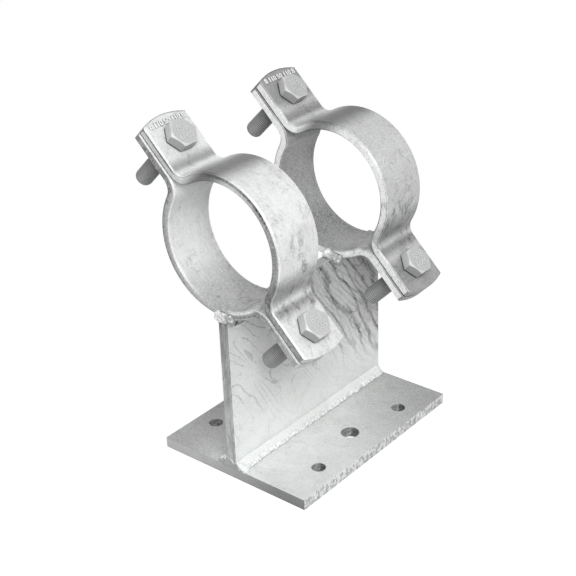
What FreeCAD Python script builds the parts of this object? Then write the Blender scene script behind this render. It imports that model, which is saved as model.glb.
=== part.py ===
import FreeCAD, Part
import os
import Sketcher
from FreeCAD import Vector, Placement, Rotation

# A sliding pipe support: a base plate with an upright web, and two strap clamps
# welded to the web's top edge. Millimetres, +Z up, the pipe runs along Y,
# the origin lies under the middle of the base plate.

DRIVING = [
    ("base_width", 160.0, "base plate across the pipe"),
    ("base_length", 210.0, "base plate and web along the pipe"),
    ("base_thick", 10.0, "base plate thickness"),
    ("corner_span_x", 120.0, "corner holes, spacing across"),
    ("corner_span_y", 120.0, "corner holes, spacing along"),
    ("corner_hole", 13.0, "corner hole diameter"),
    ("middle_span", 98.0, "middle holes, spacing across"),
    ("middle_hole", 17.0, "middle hole diameter"),
    ("web_thick", 10.0, "web thickness"),
    ("web_height", 148.0, "web above the base plate"),
    ("bore_radius", 55.0, "inside of the closed clamp"),
    ("band_thick", 8.0, "flat bar thickness"),
    ("band_width", 50.0, "flat bar width"),
    ("bend_inside", 11.0, "tight side of the bend into a lug"),
    ("lug_gap", 0.8, "gap between two closed lugs"),
    ("lug_reach", 118.0, "clamp axis to the crown of a lug's end"),
    ("lug_crown", 65.0, "radius of the rounded lug end"),
    ("bolt_reach", 94.0, "clamp axis to a bolt's axis"),
    ("edge_break", 1.2, "broken edges of the flat bar"),
    ("clamp_pitch", 143.0, "from one clamp to the next"),
    ("bolt_size", 15.8, "bolt thread over its crests"),
    ("bolt_long", 65.0, "bolt length under the head"),
    ("tapped_hole", 16.0, "hole in the lower lugs"),
    ("free_hole", 17.5, "hole in the cover lugs"),
    ("head_flats", 24.0, "bolt head across flats"),
    ("head_high", 10.0, "bolt head height"),
    ("point_break", 1.6, "chamfer at the bolt's point"),
    ("foot_leg", 8.0, "leg of the fillet welds at the web's foot"),
    ("foot_short", 0.5, "how far each end of those welds stops before the plate's end"),
    ("bead_long", 19.0, "length across the web of the welds that hold a clamp"),
    ("bead_leg", 6.5, "leg of those welds"),
    ("bead_proud", 3.5, "how far the bead on two flush faces stands out"),
    ("bead_taper", 1.6, "slope at the ends of those welds"),
]

SPLIT_TURN = 45.0      # degrees the clamps lean: their bolts point up to +X
HEX_SIDES = 6
HEAD_BEVEL = 0.577     # rise over run of the 30 degree bevel on a bolt head
BEVEL_START = 0.95     # part of the flats' half width that stays flat on top
BEAD_ROUND = 1.8       # radius of a fillet weld's face, in legs
BEAD_BULGE = 0.58      # middle of that face, in legs from either wall
SPARE = 5.0            # how far cutting outlines stand clear of the metal

doc = FreeCAD.newDocument("sliding_support")

sheet = doc.addObject("Spreadsheet::Sheet", "Sizes")
for row, (alias, value, meaning) in enumerate(DRIVING, start=1):
    sheet.set(f"A{row}", meaning)
    sheet.set(f"B{row}", str(value))
    sheet.setAlias(f"B{row}", alias)
doc.recompute()


def size(alias):
    """The number in one named cell."""
    return float(sheet.get(alias))


def origin_plane(body, role):
    """One of the three planes through a body's own origin."""
    return next(f for f in body.Origin.OriginFeatures if f.Role == role)


def new_body(name):
    body = doc.addObject("PartDesign::Body", name)
    body.Label = name
    return body


def new_sketch(body, name, role):
    sketch = body.newObject("Sketcher::SketchObject", name)
    sketch.AttachmentSupport = [(origin_plane(body, role), "")]
    sketch.MapMode = "FlatFace"
    return sketch


def bind(sketch, kind, where, value, formula):
    """Adds a dimension to a sketch and ties it to a formula on the sheet."""
    index = sketch.addConstraint(Sketcher.Constraint(kind, *where, value))
    sketch.setExpression(f"Constraints[{index}]", formula)


def place(body, x="0", y="0", z="0", turn=0.0, axis=Vector(0, 1, 0)):
    """Puts a body where formulas on the sheet say, turned about one axis."""
    body.Placement = Placement(Vector(), Rotation(axis, turn))
    for letter, formula in zip("xyz", (x, y, z)):
        if formula != "0":
            body.setExpression(f".Placement.Base.{letter}", formula)


def chain(sketch, items):
    """Adds the edges of one outline, in order."""
    for item in items:
        sketch.addGeometry(item, False)


def segment(x1, y1, x2, y2):
    return Part.LineSegment(Vector(x1, y1, 0), Vector(x2, y2, 0))


def join(sketch, one, one_end, two, two_end):
    sketch.addConstraint(Sketcher.Constraint("Coincident", one, one_end, two, two_end))


def rectangle(sketch, wide, tall, centre_y=0.0):
    """Four edges round a point on the sketch's upright axis, in order."""
    left, right = -wide / 2, wide / 2
    low, high = centre_y - tall / 2, centre_y + tall / 2
    corners = [(left, low), (right, low), (right, high), (left, high)]
    chain(sketch, [segment(*corners[i], *corners[(i + 1) % 4]) for i in range(4)])
    for i in range(4):
        join(sketch, i, 2, (i + 1) % 4, 1)
    for i, kind in enumerate(("Horizontal", "Vertical", "Horizontal", "Vertical")):
        sketch.addConstraint(Sketcher.Constraint(kind, i))


def pad(body, sketch, formula, both_ways=False, backwards=False):
    feature = body.newObject("PartDesign::Pad", f"{sketch.Name}_pad")
    feature.Profile = sketch
    feature.Type = "Length"
    if both_ways:
        feature.SideType = "Symmetric"
    feature.Reversed = backwards
    feature.setExpression("Length", formula)
    return feature


def cut_through(body, sketch):
    feature = body.newObject("PartDesign::Pocket", f"{sketch.Name}_cut")
    feature.Profile = sketch
    feature.Type = "ThroughAll"
    feature.SideType = "Symmetric"
    return feature


def mirror(body, features, role):
    """Repeats features on the far side of one of the body's planes."""
    copy = body.newObject("PartDesign::Mirrored", f"{features[-1].Name}_pair")
    copy.Originals = features
    copy.MirrorPlane = (origin_plane(body, role), [""])
    body.Tip = copy
    return copy


def circle(sketch, x, y, x_formula, y_formula, diameter_alias):
    """A hole's outline, its middle measured from the sketch's axes."""
    radius = size(diameter_alias) / 2
    index = sketch.addGeometry(Part.Circle(Vector(x, y, 0), Vector(0, 0, 1), radius), False)
    bind(sketch, "Diameter", (index,), 2 * radius, f"Sizes.{diameter_alias}")
    bind(sketch, "DistanceX", (-1, 1, index, 3), x, x_formula)
    if y_formula is None:
        sketch.addConstraint(Sketcher.Constraint("PointOnObject", index, 3, -1))
    elif y > 0:
        bind(sketch, "DistanceY", (-1, 1, index, 3), y, y_formula)
    else:
        bind(sketch, "DistanceY", (index, 3, -1, 1), -y, y_formula)
    return index


# Base plate: four small holes near its corners and two larger ones beside the web
def make_base_plate():
    body = new_body("base_plate")
    outline = new_sketch(body, "base_outline", "XY_Plane")
    wide, long = size("base_width"), size("base_length")
    rectangle(outline, wide, long)
    outline.addConstraint(Sketcher.Constraint("Symmetric", 0, 1, 2, 1, -1, 1))
    bind(outline, "DistanceX", (0, 1, 0, 2), wide, "Sizes.base_width")
    bind(outline, "DistanceY", (1, 1, 1, 2), long, "Sizes.base_length")
    pad(body, outline, "Sizes.base_thick")
    doc.recompute()
    holes = new_sketch(body, "base_holes", "XY_Plane")
    across, along = size("corner_span_x") / 2, size("corner_span_y") / 2
    circle(holes, across, along, "Sizes.corner_span_x / 2", "Sizes.corner_span_y / 2", "corner_hole")
    circle(holes, across, -along, "Sizes.corner_span_x / 2", "Sizes.corner_span_y / 2", "corner_hole")
    circle(holes, size("middle_span") / 2, 0, "Sizes.middle_span / 2", None, "middle_hole")
    drilled = cut_through(body, holes)
    doc.recompute()
    mirror(body, [drilled], "YZ_Plane")
    return body


# Web: a plain plate on edge, as long as the base
def make_web():
    body = new_body("web_plate")
    outline = new_sketch(body, "web_outline", "XY_Plane")
    wide, long = size("web_thick"), size("base_length")
    rectangle(outline, wide, long)
    outline.addConstraint(Sketcher.Constraint("Symmetric", 0, 1, 2, 1, -1, 1))
    bind(outline, "DistanceX", (0, 1, 0, 2), wide, "Sizes.web_thick")
    bind(outline, "DistanceY", (1, 1, 1, 2), long, "Sizes.base_length")
    pad(body, outline, "Sizes.web_height")
    place(body, z="Sizes.base_thick")
    return body


# Fillet weld along the foot of the web, its face a shallow arc
def make_foot_weld(name, turn):
    body = new_body(name)
    profile = new_sketch(body, f"{name}_profile", "XZ_Plane")
    leg, inner = size("foot_leg"), size("web_thick") / 2
    bulge = leg * BEAD_BULGE
    upright = segment(inner, 0, inner, leg)
    face = Part.Arc(Vector(inner, leg, 0), Vector(inner + bulge, bulge, 0), Vector(inner + leg, 0, 0))
    floor = segment(inner + leg, 0, inner, 0)
    chain(profile, [upright, face, floor])
    join(profile, 0, 2, 1, 2)
    join(profile, 1, 1, 2, 1)
    join(profile, 2, 2, 0, 1)
    profile.addConstraint(Sketcher.Constraint("Vertical", 0))
    profile.addConstraint(Sketcher.Constraint("Horizontal", 2))
    profile.addConstraint(Sketcher.Constraint("PointOnObject", 0, 1, -1))
    bind(profile, "DistanceX", (-1, 1, 0, 1), inner, "Sizes.web_thick / 2")
    bind(profile, "DistanceY", (0, 1, 0, 2), leg, "Sizes.foot_leg")
    bind(profile, "DistanceX", (0, 1, 1, 1), leg, "Sizes.foot_leg")
    bind(profile, "Radius", (1,), BEAD_ROUND * leg, f"Sizes.foot_leg * {BEAD_ROUND}")
    pad(body, profile, "Sizes.base_length - 2 * Sizes.foot_short", both_ways=True)
    place(body, z="Sizes.base_thick", turn=turn, axis=Vector(0, 0, 1))
    return body


def half_band_outline(sketch):
    """Half of a clamp half, seen along the pipe: a quarter turn of flat bar that
    bends outward into a flat lug. X runs along the lug, Y away from the split."""
    inner, thick = size("bore_radius"), size("band_thick")
    bend, gap = size("bend_inside"), size("lug_gap") / 2
    reach = size("lug_reach")
    outer = inner + thick
    centre_y = gap + thick + bend
    centre_x = ((outer + bend) ** 2 - centre_y ** 2) ** 0.5
    span = outer + bend
    leave = Vector(centre_x / span, centre_y / span, 0)
    top = Vector(0, 1, 0)
    between = (leave + top).normalize()
    back = (Vector(0, -1, 0) - leave).normalize()
    centre = Vector(centre_x, centre_y, 0)
    items = [
        Part.Arc(leave * inner, between * inner, top * inner),
        segment(0, inner, 0, outer),
        Part.Arc(top * outer, between * outer, leave * outer),
        Part.Arc(leave * outer, centre + back * bend, Vector(centre_x, gap + thick, 0)),
        segment(centre_x, gap + thick, reach, gap + thick),
        segment(reach, gap + thick, reach, gap),
        segment(reach, gap, centre_x, gap),
        Part.Arc(Vector(centre_x, gap, 0), centre + back * (bend + thick), leave * inner),
    ]
    chain(sketch, items)


def band_constraints(sketch):
    """Ties the outline above to the sheet. End 1 of an arc is where it starts
    turning left, end 2 is where it stops, whichever way it was drawn."""
    inner, thick = size("bore_radius"), size("band_thick")
    con = Sketcher.Constraint
    for arc in (0, 2):
        sketch.addConstraint(con("Coincident", arc, 3, -1, 1))
    join(sketch, 3, 3, 7, 3)
    join(sketch, 0, 2, 1, 1)
    join(sketch, 1, 2, 2, 2)
    sketch.addConstraint(con("PointOnObject", 1, 1, -2))
    sketch.addConstraint(con("Vertical", 1))
    sketch.addConstraint(con("Tangent", 2, 1, 3, 1))
    sketch.addConstraint(con("Tangent", 3, 2, 4, 1))
    join(sketch, 4, 2, 5, 1)
    join(sketch, 5, 2, 6, 1)
    sketch.addConstraint(con("Tangent", 6, 2, 7, 2))
    sketch.addConstraint(con("Tangent", 7, 1, 0, 1))
    sketch.addConstraint(con("Horizontal", 6))
    sketch.addConstraint(con("Vertical", 5))
    bind(sketch, "Radius", (0,), inner, "Sizes.bore_radius")
    bind(sketch, "Radius", (2,), inner + thick, "Sizes.bore_radius + Sizes.band_thick")
    bind(sketch, "Radius", (3,), size("bend_inside"), "Sizes.bend_inside")
    bind(sketch, "DistanceY", (-1, 1, 5, 2), size("lug_gap") / 2, "Sizes.lug_gap / 2")
    bind(sketch, "DistanceX", (-1, 1, 5, 2), size("lug_reach"), "Sizes.lug_reach")


def lug_end_outline(sketch, hole_alias):
    """What is cut from a lug, seen square on: the metal beyond its rounded end,
    and the bolt hole."""
    half, crown, reach = size("band_width") / 2, size("lug_crown"), size("lug_reach")
    clear = half + SPARE
    centre = reach - crown
    side = centre + (crown ** 2 - clear ** 2) ** 0.5
    items = [
        Part.Arc(Vector(side, -clear, 0), Vector(reach, 0, 0), Vector(side, clear, 0)),
        segment(side, clear, reach + SPARE, clear),
        segment(reach + SPARE, clear, reach + SPARE, -clear),
        segment(reach + SPARE, -clear, side, -clear),
    ]
    chain(sketch, items)
    join(sketch, 0, 2, 1, 1)
    join(sketch, 1, 2, 2, 1)
    join(sketch, 2, 2, 3, 1)
    join(sketch, 3, 2, 0, 1)
    for index, kind in ((1, "Horizontal"), (2, "Vertical"), (3, "Horizontal")):
        sketch.addConstraint(Sketcher.Constraint(kind, index))
    sketch.addConstraint(Sketcher.Constraint("PointOnObject", 0, 3, -1))
    bind(sketch, "Radius", (0,), crown, "Sizes.lug_crown")
    bind(sketch, "DistanceX", (-1, 1, 0, 3), centre, "Sizes.lug_reach - Sizes.lug_crown")
    bind(sketch, "DistanceX", (-1, 1, 2, 1), reach + SPARE, f"Sizes.lug_reach + {SPARE}")
    bind(sketch, "DistanceY", (-1, 1, 1, 1), clear, f"Sizes.band_width / 2 + {SPARE}")
    bind(sketch, "DistanceY", (3, 2, -1, 1), clear, f"Sizes.band_width / 2 + {SPARE}")
    circle(sketch, size("bolt_reach"), 0, "Sizes.bolt_reach", None, hole_alias)


def side_faces(shape):
    """The two faces of a bar that look along the pipe."""
    names = []
    for number, face in enumerate(shape.Faces, start=1):
        if isinstance(face.Surface, Part.Plane) and abs(abs(face.normalAt(0, 0).y) - 1) < 1e-6:
            names.append(f"Face{number}")
    return names


AXIS_HEIGHT = "Sizes.base_thick + Sizes.web_height + Sizes.band_thick + Sizes.bore_radius"
FRONT_FACE = "0 - Sizes.base_length / 2"
CLAMPS = {"front": FRONT_FACE, "rear": f"{FRONT_FACE} + Sizes.clamp_pitch"}


# Clamp half: flat bar rolled to the pipe, with two lugs
def make_clamp_half(name, hole_alias, face_y, turn):
    body = new_body(name)
    outline = new_sketch(body, f"{name}_outline", "XZ_Plane")
    half_band_outline(outline)
    band_constraints(outline)
    bar = pad(body, outline, "Sizes.band_width", both_ways=True)
    doc.recompute()
    ends = new_sketch(body, f"{name}_ends", "XY_Plane")
    lug_end_outline(ends, hole_alias)
    cut = cut_through(body, ends)
    doc.recompute()
    whole = mirror(body, [bar, cut], "YZ_Plane")
    doc.recompute()
    broken = body.newObject("PartDesign::Chamfer", f"{name}_edges")
    broken.Base = (whole, side_faces(whole.Shape))
    broken.setExpression("Size", "Sizes.edge_break")
    place(body, y=f"{face_y} + Sizes.band_width / 2", z=AXIS_HEIGHT, turn=turn)
    return body


# Hexagon bolt, threaded to the head; its thread stays a plain cylinder here
def make_bolt(name, face_y, side):
    body = new_body(name)
    flats, high = size("head_flats"), size("head_high")
    corner = flats / 3 ** 0.5
    hexagon = new_sketch(body, f"{name}_hexagon", "XY_Plane")
    step = Rotation(Vector(0, 0, 1), 360.0 / HEX_SIDES)
    point = Vector(0, -corner, 0)
    for number in range(HEX_SIDES):
        following = step.multVec(point)
        hexagon.addGeometry(Part.LineSegment(point, following), False)
        point = following
    for number in range(HEX_SIDES):
        join(hexagon, number, 2, (number + 1) % HEX_SIDES, 1)
    ring = hexagon.addGeometry(Part.Circle(Vector(), Vector(0, 0, 1), corner), True)
    hexagon.addConstraint(Sketcher.Constraint("Coincident", ring, 3, -1, 1))
    for number in range(HEX_SIDES):
        hexagon.addConstraint(Sketcher.Constraint("PointOnObject", number, 1, ring))
        if number:
            hexagon.addConstraint(Sketcher.Constraint("Equal", 0, number))
    hexagon.addConstraint(Sketcher.Constraint("PointOnObject", 0, 1, -2))
    bind(hexagon, "Radius", (ring,), corner, "Sizes.head_flats / sqrt(3)")
    pad(body, hexagon, "Sizes.head_high")
    doc.recompute()

    bevel = new_sketch(body, f"{name}_bevel", "XZ_Plane")
    start, stop = BEVEL_START * flats / 2, corner + SPARE
    drop = (stop - start) * HEAD_BEVEL
    chain(bevel, [
        segment(start, high, stop, high),
        segment(stop, high, stop, high - drop),
        segment(stop, high - drop, start, high),
    ])
    join(bevel, 0, 2, 1, 1)
    join(bevel, 1, 2, 2, 1)
    join(bevel, 2, 2, 0, 1)
    bevel.addConstraint(Sketcher.Constraint("Horizontal", 0))
    bevel.addConstraint(Sketcher.Constraint("Vertical", 1))
    bind(bevel, "DistanceY", (-1, 1, 0, 1), high, "Sizes.head_high")
    bind(bevel, "DistanceX", (-1, 1, 0, 1), start, f"Sizes.head_flats / 2 * {BEVEL_START}")
    bind(bevel, "DistanceX", (-1, 1, 0, 2), stop, f"Sizes.head_flats / sqrt(3) + {SPARE}")
    bind(
        bevel, "DistanceY", (1, 2, 1, 1), drop,
        f"(Sizes.head_flats / sqrt(3) + {SPARE} - Sizes.head_flats / 2 * {BEVEL_START}) * {HEAD_BEVEL}",
    )
    turned = body.newObject("PartDesign::Groove", f"{name}_turned")
    turned.Profile = bevel
    turned.ReferenceAxis = (bevel, ["V_Axis"])
    turned.Angle = 360.0
    doc.recompute()

    shank = new_sketch(body, f"{name}_shank", "XY_Plane")
    disc = shank.addGeometry(Part.Circle(Vector(), Vector(0, 0, 1), size("bolt_size") / 2), False)
    shank.addConstraint(Sketcher.Constraint("Coincident", disc, 3, -1, 1))
    bind(shank, "Diameter", (disc,), size("bolt_size"), "Sizes.bolt_size")
    rod = pad(body, shank, "Sizes.bolt_long", backwards=True)
    doc.recompute()

    point = body.newObject("PartDesign::Chamfer", f"{name}_point")
    rim = [
        f"Edge{number}" for number, edge in enumerate(rod.Shape.Edges, start=1)
        if edge.BoundBox.ZMax < -size("bolt_long") + 1e-6
    ]
    point.Base = (rod, rim)
    point.setExpression("Size", "Sizes.point_break")

    rise = "(Sizes.lug_gap / 2 + Sizes.band_thick)"
    along = f"({side} * Sizes.bolt_reach)"
    lean = f"({SPLIT_TURN} deg)"
    place(
        body,
        x=f"{along} * cos{lean} + {rise} * sin{lean}",
        y=f"{face_y} + Sizes.band_width / 2",
        z=f"{AXIS_HEIGHT} - {along} * sin{lean} + {rise} * cos{lean}",
        turn=SPLIT_TURN,
    )
    return body


# Bead across the web at one edge of a clamp. In the corner between the web's top and
# the band it is a fillet; on two flush faces it is a low lens over the seam.
def make_clamp_weld(name, face_y, turn, flush):
    body = new_body(name)
    profile = new_sketch(body, f"{name}_profile", "YZ_Plane")
    leg, proud = size("bead_leg"), size("bead_proud")
    foot = Vector(0, -leg, 0) if flush else Vector(-leg, 0, 0)
    middle = Vector(-proud, 0, 0) if flush else Vector(-leg * BEAD_BULGE, leg * BEAD_BULGE, 0)
    items = [segment(0, leg, 0, foot.y), Part.Arc(foot, middle, Vector(0, leg, 0))]
    if not flush:
        items.insert(1, segment(0, 0, foot.x, 0))
    chain(profile, items)
    arc = len(items) - 1
    for number in range(arc - 1):
        join(profile, number, 2, number + 1, 1)
    # The curve's second end lies on the flat foot, and its first on the upright face.
    join(profile, arc, 2, arc - 1, 2)
    join(profile, arc, 1, 0, 1)
    profile.addConstraint(Sketcher.Constraint("PointOnObject", 0, 1, -2))
    profile.addConstraint(Sketcher.Constraint("Vertical", 0))
    bind(profile, "DistanceY", (-1, 1, 0, 1), leg, "Sizes.bead_leg")
    if flush:
        bind(profile, "DistanceY", (0, 2, -1, 1), leg, "Sizes.bead_leg")
        radius = (leg ** 2 + proud ** 2) / (2 * proud)
        bind(profile, "Radius", (arc,), radius,
             "(Sizes.bead_leg ^ 2 + Sizes.bead_proud ^ 2) / (2 * Sizes.bead_proud)")
    else:
        profile.addConstraint(Sketcher.Constraint("PointOnObject", 0, 2, -1))
        profile.addConstraint(Sketcher.Constraint("Horizontal", 1))
        bind(profile, "DistanceX", (1, 2, 1, 1), leg, "Sizes.bead_leg")
        bind(profile, "Radius", (arc,), BEAD_ROUND * leg, f"Sizes.bead_leg * {BEAD_ROUND}")
    rod = pad(body, profile, "Sizes.bead_long", both_ways=True)
    doc.recompute()
    tapered = body.newObject("PartDesign::Chamfer", f"{name}_ends")
    rims = [
        f"Edge{number}" for number, edge in enumerate(rod.Shape.Edges, start=1)
        if isinstance(edge.Curve, Part.Circle)
    ]
    tapered.Base = (rod, rims)
    tapered.setExpression("Size", "Sizes.bead_taper")
    place(body, y=face_y, z="Sizes.base_thick + Sizes.web_height", turn=turn, axis=Vector(0, 0, 1))
    return body


pieces = [make_base_plate(), make_web()]
for side_name, half_turn in (("right", 0.0), ("left", 180.0)):
    pieces.append(make_foot_weld(f"weld_foot_{side_name}", half_turn))
for place_name, front_y in CLAMPS.items():
    pieces.append(make_clamp_half(f"clamp_lower_{place_name}", "tapped_hole", front_y, SPLIT_TURN + 180.0))
    pieces.append(make_clamp_half(f"clamp_cover_{place_name}", "free_hole", front_y, SPLIT_TURN))
    pieces.append(make_bolt(f"bolt_upper_{place_name}", front_y, -1))
    pieces.append(make_bolt(f"bolt_lower_{place_name}", front_y, 1))
    rear_y = f"{front_y} + Sizes.band_width"
    pieces.append(make_clamp_weld(f"weld_toe_{place_name}", front_y, 0.0, place_name == "front"))
    pieces.append(make_clamp_weld(f"weld_heel_{place_name}", rear_y, 180.0, False))
doc.recompute()

for item in doc.Objects:
    if "Invalid" in item.State or "Error" in item.State:
        raise RuntimeError(f"{item.Name} failed: {item.State}")

os.makedirs("parts", exist_ok=True)
for piece in pieces:
    if piece.Shape.isNull() or not piece.Shape.isValid() or piece.Shape.Volume <= 0:
        raise RuntimeError(f"{piece.Label} has no sound shape")
    piece.Shape.exportStep(os.path.join("parts", f"{piece.Label}.step"))
    box = piece.Shape.BoundBox
    reach = [f"{low:8.2f} {high:8.2f}" for low, high in (
        (box.XMin, box.XMax), (box.YMin, box.YMax), (box.ZMin, box.ZMax))]
    print(f"{piece.Label:22s} volume {piece.Shape.Volume:10.1f}  " + "  ".join(reach))
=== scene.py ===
import math
import random
from collections import namedtuple

import bmesh
import bpy
from mathutils import Matrix, Vector


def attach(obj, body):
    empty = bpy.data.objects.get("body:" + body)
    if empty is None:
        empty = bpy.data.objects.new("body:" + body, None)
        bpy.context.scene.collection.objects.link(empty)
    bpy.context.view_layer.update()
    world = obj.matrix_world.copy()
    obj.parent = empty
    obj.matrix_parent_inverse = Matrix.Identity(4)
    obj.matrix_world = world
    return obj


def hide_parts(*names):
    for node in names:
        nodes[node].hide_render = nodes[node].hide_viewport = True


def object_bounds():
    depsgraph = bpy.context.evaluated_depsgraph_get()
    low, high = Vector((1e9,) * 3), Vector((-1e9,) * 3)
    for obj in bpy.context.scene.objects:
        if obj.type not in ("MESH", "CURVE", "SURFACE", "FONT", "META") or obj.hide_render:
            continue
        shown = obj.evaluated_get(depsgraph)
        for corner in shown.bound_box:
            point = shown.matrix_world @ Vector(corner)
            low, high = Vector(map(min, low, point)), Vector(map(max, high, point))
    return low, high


# A galvanised sliding pipe support with two empty clamps, in metres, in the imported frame.

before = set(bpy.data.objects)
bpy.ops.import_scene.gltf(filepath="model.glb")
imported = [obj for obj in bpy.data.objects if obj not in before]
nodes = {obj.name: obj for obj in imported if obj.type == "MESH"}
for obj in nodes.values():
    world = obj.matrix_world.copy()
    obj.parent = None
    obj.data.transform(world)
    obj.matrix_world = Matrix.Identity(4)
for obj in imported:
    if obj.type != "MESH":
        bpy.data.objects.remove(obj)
frame_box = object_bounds()
MM = 0.001
scene = bpy.context.scene
scene.view_settings.view_transform = "Standard"

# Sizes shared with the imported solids
WEB_HALF = 5.0 * MM
WEB_TOP = 158.0 * MM
BASE_TOP = 10.0 * MM
END_Y = 105.0 * MM
AXIS_Z = 221.0 * MM
BORE = 55.0 * MM
BAND = 8.0 * MM
BAND_WIDE = 50.0 * MM
CLAMP_FACE = {"front": -105.0 * MM, "rear": 38.0 * MM}
BOLT_REACH = 94.0 * MM
LUG_TOP = 8.4 * MM
HEAD_FLATS = 24.0 * MM
HEAD_HIGH = 10.0 * MM
SHANK_R = 7.9 * MM
SHANK_LONG = 64.7 * MM
THREAD_PITCH = 2.0 * MM
LEAN = math.radians(45.0)

# Along a clamp's lugs, down to the right, and square to them, towards the bolt heads.
ACROSS = Vector((math.cos(LEAN), 0, -math.sin(LEAN)))
OUTWARD = Vector((math.sin(LEAN), 0, math.cos(LEAN)))


# Camera and light

def aim_camera(azimuth, elevation, roll, lens, target, distance):
    """A camera that looks at the target from this far off, with its angles in degrees."""
    a, e, r = (math.radians(v) for v in (azimuth, elevation, roll))
    back = Vector((math.sin(a) * math.cos(e), -math.cos(a) * math.cos(e), math.sin(e)))
    right = Vector((math.cos(a), math.sin(a), 0))
    up = back.cross(right)
    right_rolled = math.cos(r) * right + math.sin(r) * up
    up_rolled = math.cos(r) * up - math.sin(r) * right
    place = Vector(target) + distance * back
    data = bpy.data.cameras.new("view_camera")
    data.sensor_width = 36
    data.lens = lens
    data.clip_start = 0.01
    data.clip_end = 50
    camera = bpy.data.objects.new("view_camera", data)
    turn = Matrix((right_rolled, up_rolled, back)).transposed().to_4x4()
    camera.matrix_world = Matrix.Translation(place) @ turn
    scene.collection.objects.link(camera)
    scene.camera = camera


aim_camera(azimuth=40.336, elevation=26.709, roll=-2.184, lens=78.922,
           target=(0.117144, -0.159168, 0.241586), distance=0.89003)


def soft_box(name, place, aim, wide, tall, power):
    """A rectangular light that shines at a point and isn't seen itself."""
    data = bpy.data.lights.new(name, "AREA")
    data.shape = "RECTANGLE"
    data.size = wide
    data.size_y = tall
    data.energy = power
    lamp = bpy.data.objects.new(name, data)
    lamp.location = place
    lamp.visible_camera = False
    lamp.rotation_euler = (Vector(aim) - Vector(place)).to_track_quat("-Z", "Y").to_euler()
    scene.collection.objects.link(lamp)


MIDDLE = (0.02, -0.08, 0.14)    # where the lights are aimed
soft_box("key_light", (0.80, -0.70, 0.95), MIDDLE, wide=0.7, tall=0.7, power=13.5)
soft_box("left_light", (-1.2, -1.6, 0.8), MIDDLE, wide=1.0, tall=1.2, power=2.2)
soft_box("back_light", (0.9, 1.3, 0.9), MIDDLE, wide=1.0, tall=1.0, power=1.2)


class Nodes:
    """Short hands for a node tree."""

    def __init__(self, tree):
        self.tree = tree
        tree.nodes.clear()

    def add(self, kind, **settings):
        node = self.tree.nodes.new(kind)
        for key, value in settings.items():
            setattr(node, key, value)
        return node

    def feed(self, socket, value):
        if isinstance(value, bpy.types.NodeSocket):
            self.tree.links.new(value, socket)
        else:
            socket.default_value = value

    def maths(self, operation, first, second=0.0, third=None, clamp=False):
        node = self.add("ShaderNodeMath", operation=operation, use_clamp=clamp)
        self.feed(node.inputs[0], first)
        self.feed(node.inputs[1], second)
        if third is not None:
            self.feed(node.inputs[2], third)
        return node.outputs[0]

    def times(self, first, second):
        return self.maths("MULTIPLY", first, second)

    def dim(self, value, share):
        """value less a share of it."""
        return self.times(value, self.maths("SUBTRACT", 1.0, share))

    def spread(self, value, low, high, to_low=0.0, to_high=1.0):
        """Smooth step from to_low at low to to_high at high."""
        node = self.add("ShaderNodeMapRange", interpolation_type="SMOOTHSTEP")
        self.feed(node.inputs["Value"], value)
        self.feed(node.inputs["From Min"], low)
        self.feed(node.inputs["From Max"], high)
        self.feed(node.inputs["To Min"], to_low)
        self.feed(node.inputs["To Max"], to_high)
        return node.outputs["Result"]

    def between(self, value, start, full, fading, gone):
        """1 from full to fading, 0 before start and after gone."""
        return self.times(self.spread(value, start, full), self.spread(value, fading, gone, 1.0, 0.0))

    def place(self, scale=(1, 1, 1), turn=(0, 0, 0)):
        """Object coordinates, turned and then stretched."""
        where = self.add("ShaderNodeTexCoord").outputs["Object"]
        turned = self.add("ShaderNodeMapping", vector_type="POINT")
        self.feed(turned.inputs["Vector"], where)
        turned.inputs["Rotation"].default_value = turn
        stretched = self.add("ShaderNodeVectorMath", operation="MULTIPLY")
        self.feed(stretched.inputs[0], turned.outputs[0])
        stretched.inputs[1].default_value = scale
        return stretched.outputs[0]

    def noise(self, where, scale, detail=3.0, rough=0.55, warp=0.0):
        node = self.add("ShaderNodeTexNoise")
        self.feed(node.inputs["Vector"], where)
        node.inputs["Scale"].default_value = scale
        node.inputs["Detail"].default_value = detail
        node.inputs["Roughness"].default_value = rough
        node.inputs["Distortion"].default_value = warp
        return node.outputs["Fac"]

    def sand(self, scale, gain, shift):
        """Fine grit: a rough noise times gain, plus shift."""
        return self.maths("MULTIPLY_ADD", self.noise(self.place(), scale, detail=4, rough=0.85), gain, shift)

    def waver(self, middle, field, swing):
        """middle plus or minus half of swing, as a noise of 0 to 1 goes."""
        return self.maths("MULTIPLY_ADD", self.maths("SUBTRACT", field, 0.5), swing, middle)

    def split(self, vector):
        node = self.add("ShaderNodeSeparateXYZ")
        self.feed(node.inputs[0], vector)
        return node.outputs

    def axes(self):
        """X, Y and Z of a point, in metres."""
        return self.split(self.add("ShaderNodeTexCoord").outputs["Object"])

    def normal(self, kind="True Normal"):
        return self.add("ShaderNodeNewGeometry").outputs[kind]

    def rounded(self, radius, samples):
        """The normal that the surface would have with its edges rounded."""
        node = self.add("ShaderNodeBevel", samples=samples)
        node.inputs["Radius"].default_value = radius
        return node.outputs[0]

    def vectors(self, operation, first, second):
        node = self.add("ShaderNodeVectorMath", operation=operation)
        self.feed(node.inputs[0], first)
        self.feed(node.inputs[1], second)
        return node.outputs["Value" if operation == "DOT_PRODUCT" else "Vector"]

    def either(self, share, first, second):
        """The first shader at share 0, the second at share 1."""
        node = self.add("ShaderNodeMixShader")
        self.feed(node.inputs[0], share)
        self.feed(node.inputs[1], first)
        self.feed(node.inputs[2], second)
        return node.outputs[0]


def seen_or_mirrored(n):
    """1 for the rays of the camera and of mirrored and refracted light."""
    rays = n.add("ShaderNodeLightPath").outputs
    either = n.maths("MAXIMUM", rays["Is Camera Ray"], rays["Is Glossy Ray"])
    return n.maths("MAXIMUM", either, rays["Is Transmission Ray"])


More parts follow.
